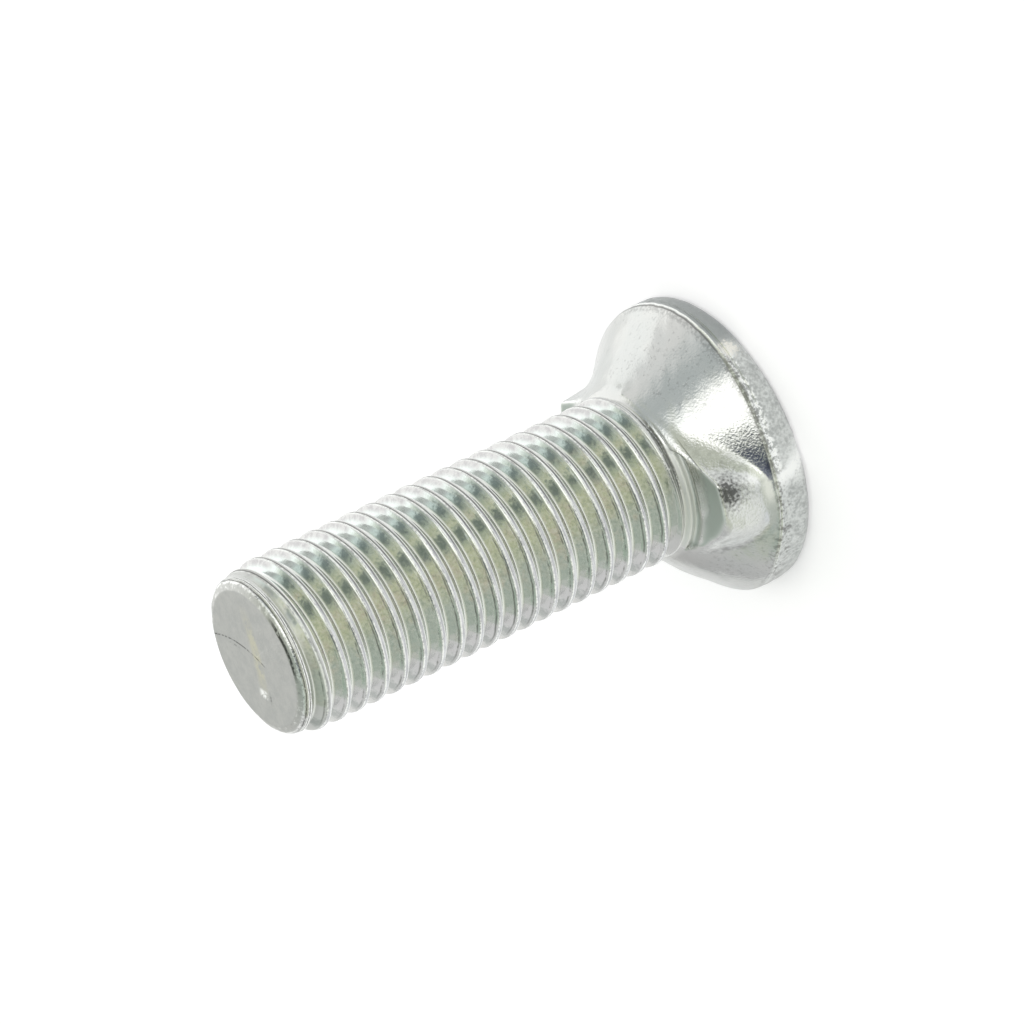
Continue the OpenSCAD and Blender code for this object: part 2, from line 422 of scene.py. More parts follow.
def lip_point(angle):
    """Radius and height of the corner between cone and rim. It stands higher and further out at
    the nibs, where the forging had more metal, and higher beside the first nib's fuller flank."""
    swell = nib_swell(angle)
    beside = smooth_step(np.cos(angle + math.radians(60)), 0.55, 0.95)
    return CONE_FOOT_R + LIP_SWELL_R * swell, CONE_FOOT_Z + LIP_SWELL_Z * swell + LIP_RISE * beside


def cone_distance(r, angle, z):
    """Distance above the cone, whose side runs straight from the neck to the lip, except on the
    side past the first nib's fuller flank, where it bulges by bulge * sin(pi share)^0.8, with the
    share running from 0 at the neck to 1 at the lip."""
    lip_r, lip_z = lip_point(angle)
    run, drop = lip_r - NECK_R, NECK_Z - lip_z
    side = np.hypot(run, drop)
    fuller = smooth_step(np.cos(angle + math.radians(85)), 0.35, 0.95)
    share = np.clip((NECK_Z - z) / drop, 0, 1)
    bulge = CONE_BULGE * fuller * np.sin(math.pi * share) ** 0.8
    return ((r - NECK_R) * drop + (z - NECK_Z) * run) / side - bulge


def nib_sides(x, y, drop):
    """Distances outside the sides of the nib at this x, at a drop below its end face: the nose,
    which is round about the bolt's axis and leans out downwards, the crisp flank and the fuller
    flank. Both flanks close in towards the nose. The second nib is the first one's mirror image,
    with a little more metal at its crisp flank."""
    nose = (np.hypot(x, y) - NOSE_R - NOSE_LEAN * drop) / math.hypot(1, NOSE_LEAN)
    more = np.where(x < 0, SECOND_MORE + SECOND_GAIN * drop, 0.0)
    inwards = NIB_X - np.abs(x)
    crisp = y - CRISP_Y - more - CRISP_CLOSE * inwards - CRISP_GAIN * drop
    full = -y - FULL_Y - FULL_CLOSE * inwards - FULL_GAIN * drop
    return nose, crisp / math.hypot(1, CRISP_CLOSE), full / math.hypot(1, FULL_CLOSE)


def nib_outline(x, y, z):
    """Distance outside the nib's sides, whose corners are rounded: tightly at the crisp flank's
    top, wider towards its foot, and broadly at the fuller flank, most of all at its top."""
    drop = np.maximum(NIB_TOP - z, 0)
    nose, crisp, full = nib_sides(x, y, drop)
    tight = TIGHT_CORNER_R + TIGHT_CORNER_GAIN * drop
    broad = BROAD_CORNER_R + BROAD_CORNER_MORE * (1 - smooth_step(drop, 0.0, BROAD_CORNER_H))
    return round_edge(round_edge(nose, crisp, tight), full, broad)


def nib_distance(x, y, z):
    """Distance outside the nib at this x: its outline under its end face. The edge between
    them is sharp except along the fuller flank."""
    soft = smooth_step(-y, -0.2, 2.0)
    return round_edge(nib_outline(x, y, z), z - NIB_TOP, NIB_EDGE_R + SOFT_EDGE_MORE * soft)


def head_distance(r, angle, z):
    """Distance outside the forged head: cone and both nibs, with fillets between them that are
    wide along the flanks, narrower along the first nib's fuller flank, and narrow at the lip.
    Inside a nib's outline the cone's top edge is cut away down to the end face, so that the
    neck's cylinder stands on it."""
    x, y = r * np.cos(angle), r * np.sin(angle)
    cone = cone_distance(r, angle, z)
    cut = round_join(r - NECK_FOOT_R, z - NIB_TOP, NIB_EDGE_R)
    inside = 1 - smooth_step(nib_outline(x, y, z), -0.30, 0.05)
    cone = cone + inside * np.maximum(cut - cone, 0)
    fillet = FILLET_MIN + FILLET_MORE * smooth_step(13.6 - r, 0.0, 3.0)
    fillet = fillet * (1 - 0.45 * smooth_step(-y, 0.0, 2.0) * (x > 0))
    fillet = fillet * (1 - 0.85 * inside * smooth_step(9.2 - r, 0, 0.8))
    return round_join(cone, nib_distance(x, y, z), fillet)


def flank_angle(r):
    """Angle from a nib's middle to its flank at radius r: 36 degrees at the neck and 5.3 less for
    every millimetre further out."""
    return np.radians(36 - 5.3 * (r - NECK_R))


def spread_columns(r):
    """Angles of the head's columns at radius r. They crowd at the four flanks: the share of
    columns up to an angle is the sum of 1 + 3.5 * bell(distance to a flank)."""
    fine = np.linspace(0, FULL_TURN, 2881)
    from_nib = np.abs((fine + math.pi / 2) % math.pi - math.pi / 2)
    middle = flank_angle(r)[:, None]
    fade = smooth_step(r, NECK_R, NECK_R + 0.7)[:, None]
    density = 1 + fade * 3.5 * hump(from_nib[None, :], middle, 0.15)
    sums = np.cumsum((density[:, 1:] + density[:, :-1]) / 2, 1)
    total = np.concatenate([np.zeros((len(r), 1)), sums], 1)
    total /= total[:, -1:]
    wanted = np.arange(HEAD_COLUMNS) / HEAD_COLUMNS
    return np.array([np.interp(wanted, line, fine) for line in total])


def cone_rings():
    """Rings from the neck to the lip. Each point starts on the cone and goes out along its
    normal until it meets the surface where the head's distance is 0, found by halving."""
    share = np.concatenate([np.linspace(0, 0.12, 8)[1:], np.linspace(0.12, 0.99, 70)[1:]])
    angle = spread_columns(NECK_R + share * (CONE_FOOT_R - NECK_R))
    share = share[:, None]
    lip_r, lip_z = lip_point(angle)
    r0 = NECK_R + share * (lip_r - NECK_R)
    z0 = NECK_Z + share * (lip_z - NECK_Z)
    way = math.sqrt(0.5)
    low, high = np.full(r0.shape, -1.0), np.full(r0.shape, 3.8)
    for _ in range(30):
        middle = (low + high) / 2
        outside = head_distance(r0 + way * middle, angle, z0 + way * middle) > 0
        low, high = np.where(outside, low, middle), np.where(outside, middle, high)
    place = on_axis(r0, angle, z0)
    fade = smooth_step(share, 0.0, 0.08) * (1 - smooth_step(share, 0.9, 0.99))
    uneven = 0.035 * waves(place, 5.5, 31) + 0.012 * waves(place, 1.9, 32)
    out = (low + high) / 2 + fade * uneven
    return angle, r0 + way * out, z0 + way * out


def rim_profile(angle):
    """Rings of the smooth rim, as arrays of radius, height and share of the forging's unevenness:
    a rounded lip, the straight band, the rounded back edge and the flat head face."""
    rim_r = HEAD_R - RIM_INSET + RIM_SWELL * nib_swell(angle)
    top = lip_point(angle)[1] - LIP_DROP
    ones = 1.0 + 0 * angle
    rings = []
    for turn in np.linspace(0.1, 1.0, 7):
        a = math.pi / 4 * (1 - turn)
        rings.append((rim_r - LIP_R + LIP_R * np.cos(a), top + LIP_R * np.sin(a) * 1.2, 0.3 * ones))
    for share in np.linspace(0.04, 1.0, 18):
        rings.append((rim_r, top + (FACE_EDGE_R - top) * share, ones))
    for turn in np.linspace(0.15, 1.0, 7):
        a = -math.pi / 2 * turn
        edge_r = rim_r - FACE_EDGE_R + FACE_EDGE_R * math.cos(a)
        rings.append((edge_r, (FACE_EDGE_R + FACE_EDGE_R * math.sin(a)) * ones, (1 - turn) * ones))
    for r in (12.4, 10.5, 8.0, 5.5, 3.0, 1.0):
        rings.append((r * ones, 0 * ones, 0 * ones))
    return [np.array(part) for part in zip(*rings)]


def rim_rings(angle):
    """Rings from the lip round the rim to the middle of the head face, uneven as forged, with the
    fine groove of the trimmed flash under the lip."""
    r, z, rough = rim_profile(angle)
    place = on_axis(r, angle[None, :], z)
    r = r + rough * (0.03 * waves(place, 3.2, 41) + 0.018 * waves(place, 0.9, 42) - 0.03)
    lip_z = lip_point(angle)[1][None, :]
    upper = 0.45 + 0.55 * smooth_step(np.cos(angle[None, :] - 1.4), 0.5, 0.9)
    groove = FLASH_DEPTH * upper * hump(z, lip_z - FLASH_AT, FLASH_W)
    r = r - groove * (0.8 + 0.2 * waves(place, 2.5, 43))
    return np.minimum(r, HEAD_R), z


# ---- masks for the finish


def nib_masks(x, y, z, r, lip_z):
    """Parts of the nibs, from 0 to 1: the forged outer faces; the painted highlights along the
    crisp edges, and with them the crisp side of the first nose's foot; the end faces, which take
    painted shade; the painted shade in the crease at the foot of the first nib's fuller flank;
    and the foot of the first nose, above the lip, which takes painted light."""
    outline = nib_outline(x, y, z)
    drop = np.maximum(NIB_TOP - z, 0)
    nose, crisp, _ = nib_sides(x, y, drop)
    on_head = smooth_step(-z, -NECK_Z, -NECK_Z + 0.3)
    faces = on_head * smooth_step(-np.abs(outline), -1.3, -0.2)
    faces = faces * smooth_step(NIB_TOP - z, 0.02, 0.22)
    # Painted highlights: the crisp ridge, the crisp corner and the first nose's foot
    ridge = on_head * hump(outline, 0, 0.22) * hump(z, NIB_TOP, 0.16) * smooth_step(y, -1.6, 0.2)
    width = 0.30 + 0.10 * drop
    corner = on_head * hump(nose + crisp, -0.15, width) * hump(nose, -0.05, width)
    corner = corner * (0.35 + 0.65 * smooth_step(drop, 1.5, 3.5))
    corner = corner * smooth_step(NIB_TOP + 0.1 - z, 0, 0.2)
    # The first nose's foot, which takes painted light
    foot = on_head * smooth_step(z, lip_z + 0.05, lip_z + 0.35) * smooth_step(r, 13.05, 13.45)
    foot = foot * (1 - smooth_step(np.abs(y + 0.4), 2.0, 4.0)) * (x > 0)
    nib_highlight = np.maximum(np.maximum(ridge, corner), foot * smooth_step(y, -1.8, 1.4))
    end = (1 - smooth_step(outline, -0.15, 0.0)) * hump(z, NIB_TOP, 0.12)
    end = end * smooth_step(r, NECK_FOOT_R, NECK_FOOT_R + 0.15)
    # Painted shade in the crease under the first nib's fuller flank
    crease_shade = on_head * hump(outline, 0.55, 0.22) * smooth_step(-y, 1.0, 2.2)
    crease_shade = crease_shade * smooth_step(NIB_TOP - z, 0.6, 1.2) * smooth_step(13.0 - r, 0, 0.5) * (x > 0)
    return faces, nib_highlight, end, crease_shade, foot


def finish_masks(points):
    """Values that the finish reads, by name. From 0 to 1: where the surface is as forged, on the
    rim up to the lip and on the nibs' outer faces; the parts of the nibs as in nib_masks; and the
    strip of the neck that stands on a nib's end face, which takes a painted highlight. In
    millimetres: the depth below the lip."""
    x, y, z = points.T
    r, angle = np.hypot(x, y), np.arctan2(y, x)
    lip_z = lip_point(angle)[1]
    faces, nib_highlight, end, crease_shade, foot = nib_masks(x, y, z, r, lip_z)
    rim = smooth_step(lip_z - z, -0.25, 0.15) * smooth_step(r, 12.6, 13.2)
    neck = smooth_step(NECK_FOOT_R + 0.3 - r, 0, 0.2) * smooth_step(z, NIB_TOP - 0.3, NIB_TOP)
    neck = neck * smooth_step(NECK_Z + 0.5 - z, 0, 0.3) * smooth_step(np.cos(2 * angle), -0.1, 0.25)
    return {
        "forged": np.maximum(rim, 0.55 * faces),
        "nib_highlight": nib_highlight,
        "nib_end": end,
        "under_lip": np.where(r > 12.6, lip_z - z, -3.0),
        "neck": neck,
        "crease_shade": crease_shade,
        "foot": foot,
    }


# ---- mesh


def placed(name, data):
    """An object with this data, linked to the scene."""
    made = bpy.data.objects.new(name, data)
    bpy.context.scene.collection.objects.link(made)
    return made


def quads(a, b, c, d):
    """Faces from four arrays of vertex numbers."""
    return np.stack([a.ravel(), b.ravel(), c.ravel(), d.ravel()], 1)


def ring_quads(first, ring_count, columns):
    """Faces between neighbouring rings that start at vertex number first and close on themselves."""
    ring = np.arange(ring_count - 1)[:, None]
    k = np.arange(columns)[None, :]
    nxt = (k + 1) % columns
    a = first + ring * columns
    b = a + columns
    return quads(a + k, a + nxt, b + nxt, b + k)


def fan(ring, columns, middle):
    """Triangles from the ring that starts at this vertex number to its middle point."""
    k = np.arange(columns)
    return np.stack([ring + k, ring + (k + 1) % columns, np.full(columns, middle)], 1)


def shank_surface():
    """Points and faces of the thread. Its rows lie along the helix, so the last column joins the
    first one a whole turn of rows further up, and rows past an end lie on the end's ring."""
    angle, z, per_turn = shank_grid()
    points = on_axis(shank_radius(angle, z), angle, z)
    columns, rows = angle.shape
    number = np.arange(columns * rows).reshape(columns, rows)
    right = np.concatenate([number[1:], np.full((1, rows), -1)])
    right[-1, : rows - per_turn] = number[0, per_turn:]
    a, b, c, d = number[:, :-1], right[:, :-1], right[:, 1:], number[:, 1:]
    keep = (b >= 0) & (c >= 0)
    return points.reshape(-1, 3), [quads(a[keep], b[keep], c[keep], d[keep])]


def tip_surface(first):
    """Points and faces of the tip, numbered from first. Its first ring repeats the thread's top
    ring, and is merged with it."""
    angle, r, z = tip_rings()
    top_angle = angle[:1]
    top_z = THREAD_TOP + 0 * top_angle
    top = on_axis(shank_radius(top_angle, top_z), top_angle, top_z)
    rings = np.concatenate([top, on_axis(r, angle, z)])
    middle = first + len(rings) * SHANK_COLUMNS
    faces = [
        ring_quads(first, len(rings), SHANK_COLUMNS),
        fan(middle - SHANK_COLUMNS, SHANK_COLUMNS, middle),
    ]
    return np.concatenate([rings.reshape(-1, 3), [[0, 0, LENGTH]]]), faces


def head_surface(first):
    """Points and faces of the head, numbered from first. Its first ring repeats the thread's
    lowest one, and is merged with it. Three triangles for each of that ring's columns join it to
    the cone's rings, which have twice as many."""
    ring_angle = column_angles(SHANK_COLUMNS)
    neck = on_axis(shank_radius(ring_angle, NECK_Z + 0 * ring_angle), ring_angle, NECK_Z)
    angle, r, z = cone_rings()
    rim_angle = angle[-1]
    rim_r, rim_z = rim_rings(rim_angle)
    rim = on_axis(rim_r, rim_angle[None, :] + 0 * rim_r, rim_z)
    rings = np.concatenate([on_axis(r, angle, z), rim])
    start = first + SHANK_COLUMNS
    middle = start + len(rings) * HEAD_COLUMNS
    k = np.arange(SHANK_COLUMNS)
    up, up_next = first + k, first + (k + 1) % SHANK_COLUMNS
    low, between = start + 2 * k, start + 2 * k + 1
    low_next = start + (2 * k + 2) % HEAD_COLUMNS
    faces = [
        np.stack([up, low, between], 1),
        np.stack([up, between, up_next], 1),
        np.stack([up_next, between, low_next], 1),
        ring_quads(start, len(rings), HEAD_COLUMNS)[:, ::-1],
        fan(middle - HEAD_COLUMNS, HEAD_COLUMNS, middle)[:, [1, 0, 2]],
    ]
    return np.concatenate([neck, rings.reshape(-1, 3), [[0, 0, 0.0]]]), faces


def build_bolt():
    """Joins the three surfaces into one closed mesh, with the finish's values on its points."""
    points, faces = shank_surface()
    for surface in (tip_surface, head_surface):
        more_points, more_faces = surface(len(points))
        points = np.concatenate([points, more_points])
        faces += more_faces
    mesh = bpy.data.meshes.new("plow_bolt_body")
    corner_lists = [face for block in faces for face in block.tolist()]
    mesh.from_pydata((points / MM_PER_M).tolist(), [], corner_lists)
    mesh.update()
    for name, values in finish_masks(points).items():
        layer = mesh.attributes.new(name, "FLOAT", "POINT")
        layer.data.foreach_set("value", values.astype(np.float32))
    work = bmesh.new()
    work.from_mesh(mesh)
    bmesh.ops.remove_doubles(work, verts=work.verts, dist=MERGE_M)
    bmesh.ops.recalc_face_normals(work, faces=work.faces)
    work.to_mesh(mesh)
    work.free()
    mesh.polygons.foreach_set("use_smooth", np.ones(len(mesh.polygons), bool))
    mesh.update()
    return placed("forged_bolt", mesh)


# ---- materials


def node(tree, kind, **settings):
    """Adds a node and sets its named settings."""
    made = tree.nodes.new(kind)
    for name, value in settings.items():
        setattr(made, name, value)
    return made


def new_material(name):
    """A material of this name, with its node tree and its shader."""
    material = bpy.data.materials.new(name)
    material.use_nodes = True
    return material, material.node_tree, material.node_tree.nodes["Principled BSDF"]


class Nodes:
    """Short names for the shader nodes that the finishes are made of. A value is a number, a
    colour or another node's output."""

    def __init__(self, tree):
        self.tree = tree

    def feed(self, socket, value):
        """Links the value to the socket, or sets the socket to it."""
        if isinstance(value, bpy.types.NodeSocket):
            self.tree.links.new(value, socket)
        else:
            socket.default_value = value

    def fill(self, made, values):
        """Feeds a node's inputs by name."""
        for name, value in values.items():
            self.feed(made.inputs[name], value)

    def math(self, operation, *values):
        made = node(self.tree, "ShaderNodeMath", operation=operation)
        for socket, value in zip(made.inputs, values):
            self.feed(socket, value)
        return made.outputs[0]

    def fold(self, operation, values):
        """Takes in one value after the other by the operation."""
        total = values[0]
        for value in values[1:]:
            total = self.math(operation, total, value)
        return total

    def times(self, *values):
        return self.fold("MULTIPLY", values)

    def plus(self, *values):
        return self.fold("ADD", values)

    def most(self, *values):
        return self.fold("MAXIMUM", values)

    def minus(self, first, second):
        return self.math("SUBTRACT", first, second)

    def without(self, *values):
        """1 less the product of the values."""
        return self.minus(1.0, self.times(*values))

    def swing(self, value, size):
        """A noise about 0 and of the given size, from one about 0.5."""
        return self.times(self.minus(value, 0.5), size)

    def step(self, value, low, high):
        """0 at low, 1 at high, smooth between; low may be the larger."""
        made = node(self.tree, "ShaderNodeMapRange", interpolation_type="SMOOTHSTEP")
        at_low = 1.0 if low > high else 0.0
        self.fill(made, {"Value": value, "From Min": min(low, high), "From Max": max(low, high)})
        self.fill(made, {"To Min": at_low, "To Max": 1.0 - at_low})
        return made.outputs["Result"]

    def mix(self, share, first, second):
        """The colour share of the way from the first to the second."""
        made = node(self.tree, "ShaderNodeMix", data_type="RGBA")
        self.feed(made.inputs["Factor"], share)
        self.feed(made.inputs[6], (*first, 1) if isinstance(first, tuple) else first)
        self.feed(made.inputs[7], (*second, 1) if isinstance(second, tuple) else second)
        return made.outputs[2]

    def blend(self, share, first, second):
        """The plain number share of the way from the first to the second."""
        made = node(self.tree, "ShaderNodeMix", data_type="FLOAT")
        self.feed(made.inputs["Factor"], share)
        self.feed(made.inputs[2], first)
        self.feed(made.inputs[3], second)
        return made.outputs[0]

    def line(self, value, middle, width):
        """1 where the value is at the middle, and 0 from the width on."""
        off = self.math("ABSOLUTE", self.minus(value, middle))
        return self.step(off, width, 0.25 * width)

    def mask(self, name):
        """A value of finish_masks."""
        return node(self.tree, "ShaderNodeAttribute", attribute_name=name).outputs["Fac"]


class BoltNodes(Nodes):
    """The nodes with what the layers of the bolt's finish share: the place in millimetres, the
    share of a turn, the thread's rows, the crest_offset p, masks and noises."""

    def __init__(self, tree):
        super().__init__(tree)
        scale = node(tree, "ShaderNodeVectorMath", operation="SCALE")
        scale.inputs["Scale"].default_value = MM_PER_M
        tree.links.new(node(tree, "ShaderNodeTexCoord").outputs["Object"], scale.inputs[0])
        self.place = scale.outputs[0]
        parts = node(tree, "ShaderNodeSeparateXYZ")
        tree.links.new(self.place, parts.inputs[0])
        self.x, self.y, self.z = parts.outputs
        self.turn = self.math("DIVIDE", self.math("ARCTAN2", self.y, self.x), FULL_TURN)
        pitches = self.math("DIVIDE", self.minus(self.z, FIRST_CREST), PITCH)
        self.rows = self.minus(pitches, self.turn)
        self.p = self.times(self.minus(self.math("FRACT", self.plus(self.rows, 0.5)), 0.5), PITCH)
        self.add_masks()
        self.add_noises()

    def add_masks(self):
        """Parts of the bolt, from 0 to 1."""
        above_neck = self.step(self.z, NECK_Z + 0.8, NECK_Z + 1.6)
        self.on_thread = self.times(above_neck, self.step(self.z, LENGTH - 1.0, LENGTH - 1.8))
        off_crest = self.math("ABSOLUTE", self.plus(self.p, CREST_SHIFT))
        self.flank = self.times(self.on_thread, self.step(off_crest, 0.20, 0.32))
        self.crest = self.times(self.on_thread, self.step(off_crest, 0.26, 0.20))
        self.bevel = self.step(self.z, LENGTH - 0.36, LENGTH - 0.16)
        self.end_face = self.step(self.z, LENGTH - 0.012, LENGTH - 0.002)
        self.far_side = self.sector(*FAR_SIDE)
        self.forged = self.mask("forged")
        # Painted highlights on the nibs' edges
        self.nib_highlight = self.mask("nib_highlight")
        self.nib_end = self.mask("nib_end")
        self.off_nib = self.without(self.nib_end)
        self.neck = self.mask("neck")

    def add_noises(self):
        """Lumps of several sizes, a slow wander of lines, and the marks of the rolling dies, which
        run along the helix."""
        self.broad = self.noise(6.0, 2.0)
        self.mottle = self.noise(0.9, 4.0, 0.65)
        self.speckle = self.noise(0.28, 2.0)
        self.grain = self.plus(self.times(self.mottle, 0.5), self.times(self.speckle, 0.5))
        self.wander = self.swing(self.noise(1.3, 2.0), 0.12)
        self.lower = self.plus(self.z, self.times(self.wander, 0.8))
        along = node(self.tree, "ShaderNodeCombineXYZ")
        helix = (self.turn, self.p, self.rows)
        for socket, value, fineness in zip(along.inputs, helix, ROLLED_FINENESS):
            self.feed(socket, self.times(value, fineness))
        self.rolled = self.noise(1.0, 4.0, 0.75, along.outputs[0])

    def noise(self, size, detail=2.0, roughness=0.55, place=None):
        """Noise whose lumps are about the given size in millimetres."""
        made = node(self.tree, "ShaderNodeTexNoise")
        self.fill(made, {"Vector": self.place if place is None else place, "Scale": 1 / size})
        self.fill(made, {"Detail": detail, "Roughness": roughness})
        return made.outputs["Fac"]

    def spot(self, centre, radius, ragged):
        """1 about the centre and 0 from the radius on, with the ragged noise added to the distance."""
        reach = node(self.tree, "ShaderNodeVectorMath", operation="DISTANCE")
        self.feed(reach.inputs[0], self.place)
        self.feed(reach.inputs[1], centre)
        return self.step(self.plus(reach.outputs["Value"], ragged), radius, 0.3 * radius)

    def sector(self, middle, inner, outer):
        """1 within the inner and 0 beyond the outer angle from the middle, in degrees about the
        axis."""
        side = self.math("COSINE", self.times(self.minus(self.turn, middle / 360), FULL_TURN))
        ended, full = math.cos(math.radians(min(outer, 180))), math.cos(math.radians(inner))
        return self.step(side, ended, full)


def stain_and_reflection_rows(n, film, cloud, fine):
    """Rows of dark marks across the middle of the flanks, with pale edges: partly stains and partly
    painted dark reflection."""
    ragged = n.plus(n.swing(cloud, 12), n.swing(fine, 14))
    across = n.step(n.math("ABSOLUTE", n.minus(n.p, 0.56)), 0.42, 0.10)
    # Painted dark reflection and stains: dark rows with paler edges across the flanks
    for middle, width, depth in STAIN_AND_REFLECTION_ROWS:
        gap = n.minus(n.turn, middle / 360)
        gap = n.minus(gap, n.math("ROUND", gap))
        gap = n.math("ABSOLUTE", n.plus(n.times(gap, 360), ragged))
        film = n.mix(n.times(n.step(gap, 1.5 * width, 0.7 * width), 0.30 * depth), film, STAIN_AND_REFLECTION_HALO)
        film = n.mix(n.times(n.step(gap, 1.1 * width, 0.1 * width), across, depth), film, STAIN_AND_REFLECTION_DARK)
    return film


def film_colour(n):
    """Colour of the flanks: the passivation film, grey-green to yellow-green with fine mottling and a
    few warm patches, where the yellow towards 40 degrees is partly painted reflection; painted
    reflection in grey about -70 degrees and painted light in a pale band about 85 degrees; a
    greyer side about 132 degrees, with painted light towards the root; and rows of dark marks,
    partly stains and partly painted dark reflection."""
    broad = n.noise(2.6, 2.0)
    cloud = n.noise(0.75, 3.0, 0.6)
    fine = n.noise(0.30, 2.0, 0.6)
    # Painted reflection, partly film: the flanks turn yellow towards the side at 40 degrees
    side = n.math("COSINE", n.times(n.minus(n.turn, 40 / 360), FULL_TURN))
    side = n.plus(n.times(side, 3.0), n.plus(n.times(cloud, 0.7), n.times(broad, 0.6)))
    film = n.mix(n.step(side, 2.98, 3.60), FILM_GREEN, FILM_AND_REFLECTION_YELLOW)
    busy = n.blend(n.sector(42, 30, 56), 0.35, 1.0)
    warm = n.times(n.step(broad, 0.52, 0.60), n.step(cloud, 0.4, 0.6), busy, 0.8)
    film = n.mix(warm, film, FILM_WARM)
    film = n.mix(n.times(n.step(fine, 0.42, 0.66), busy, 0.70), film, FILM_LIGHT)
    film = n.mix(n.times(n.step(fine, 0.50, 0.32), busy, 0.60), film, FILM_DEEP)
    # Painted reflection in grey about -70 degrees, and painted light in a pale band about 85 degrees
    film = n.mix(n.sector(-70, 44, 47), film, FLANK_REFLECTION_GREY)
    film = n.mix(n.sector(85, 6, 14), film, FLANK_PAINTED_PALE)
    # A greyer side about 132 degrees, with painted light towards the root
    side_grey = n.mix(n.step(cloud, 0.38, 0.58), SIDE_GREY_DARK, SIDE_GREY_LIGHT)
    side_grey = n.mix(n.step(n.p, 0.35, 0.70), side_grey, FLANK_PAINTED_PALE)
    film = n.mix(n.sector(132, 38, 46), film, side_grey)
    return stain_and_reflection_rows(n, film, cloud, fine)


def plain_colour(n):
    """Colour of the plain zinc, the film on the flanks, the dull crests, the painted shade on the
    nibs' end faces and the tip's rounded edge."""
    colour = n.mix(n.step(n.broad, 0.38, 0.64), ZINC, ZINC_COOL)
    colour = n.mix(n.times(n.step(n.mottle, 0.42, 0.28), 0.30), colour, SKIN_DEEP)
    colour = n.mix(n.flank, colour, film_colour(n))
    dull = n.mix(n.step(n.rolled, 0.38, 0.62), CREST_DULL, CREST_PALE)
    colour = n.mix(n.crest, colour, n.mix(n.far_side, dull, SIDE_GREY_LIGHT))
    # Painted shade on the nibs' end faces
    colour = n.mix(n.nib_end, colour, NIB_END_SHADE)
    return n.mix(n.bevel, colour, END_LIGHT)


def lap_line(n):
    """The lap high on the flank, in patches, on the side where the dies met."""
    lap = n.line(n.plus(n.p, n.wander), 0.325, 0.065)
    coarse = n.times(n.noise(5.0, 1.0), 0.6)
    patch = n.plus(coarse, n.times(n.noise(0.7, 4.0, 0.7), 0.7))
    return n.times(lap, n.step(patch, 0.52, 0.70), n.sector(0, 26, 60), n.on_thread)


def seam_line(n):
    """The seam in which the two lips of the crest closed."""
    middle = n.blend(n.far_side, -0.12, 0.02)
    seam = n.line(n.plus(n.p, n.times(n.wander, 0.4)), middle, 0.085)
    return n.times(seam, n.sector(95, 45, 68))


def residue_and_shade_share(n):
    """Where it is dark: residue in the laps and the seam, painted shade in the roots, and dark
    rings at the tip and the neck, which are painted shade in the tip collar's grooves."""
    # Painted shade in the thread's roots
    root = n.times(n.step(n.math("ABSOLUTE", n.p), 0.950, 0.975), n.sector(44, 22, 54))
    dark = n.most(n.times(n.lap, 0.5), n.most(root, n.times(n.seam, 0.70)))
    dark = n.times(n.on_thread, dark)
    # Dark rings, painted shade where they lie in the tip collar's grooves
    for middle, width, side, spread, depth in DARK_RINGS:
        ring = n.times(n.line(n.lower, middle, width), n.sector(side, 0.5 * spread, spread), n.off_nib)
        dark = n.most(dark, n.times(ring, n.step(n.speckle, 0.30, 0.48), depth))
    return dark


def edge_highlight_share(n):
    """Where highlights are painted: the crests' edges, the fillet at the flank's foot and rings
    of the tip and the neck."""
    # Painted highlights on the crests' edges and on the fillet at the flank's foot
    highlit = n.step(n.plus(n.rolled, n.times(n.speckle, 0.6)), 0.66, 0.88)
    tip_edge = n.times(n.line(n.p, 0.12, 0.13), highlit)
    edges = n.most(tip_edge, n.most(n.line(n.p, -0.26, 0.11), n.line(n.p, 0.885, 0.125)))
    edges = n.times(n.on_thread, edges)
    # Painted highlights on rings of the tip and the neck
    for middle, width in HIGHLIGHT_RINGS:
        ring = n.times(n.line(n.lower, middle, width), n.step(n.speckle, 0.35, 0.55), 0.8)
        edges = n.most(edges, ring)
    return edges


def forged_skin(n, colour):
    """The forging's mottled skin on the rim and nibs, with painted shade in slate grey where the
    rim turns away, bright flecks, and painted highlights on the thread's edges and the nibs'
    edges."""
    # Painted shade: slate grey on the rim's top side
    rim_shade = n.sector(*SLATE_RIM_SHADE)
    skin = n.mix(n.step(n.grain, 0.36, 0.64), SKIN_DARK, SKIN_LIGHT)
    skin = n.mix(n.times(rim_shade, 0.9), skin, SLATE_SHADE)
    colour = n.mix(n.times(n.forged, 0.9), colour, skin)
    fleck = n.step(n.noise(0.8, 4.0, 0.75), 0.62, 0.76)
    flecks = n.times(n.forged, fleck, n.without(rim_shade, 0.8), 0.6)
    # Painted highlights on the nibs' crisp edges
    nib_glints = n.times(n.nib_highlight, n.step(n.mottle, 0.22, 0.50))
    return n.mix(n.most(n.edges, n.most(flecks, nib_glints)), colour, BRIGHT)


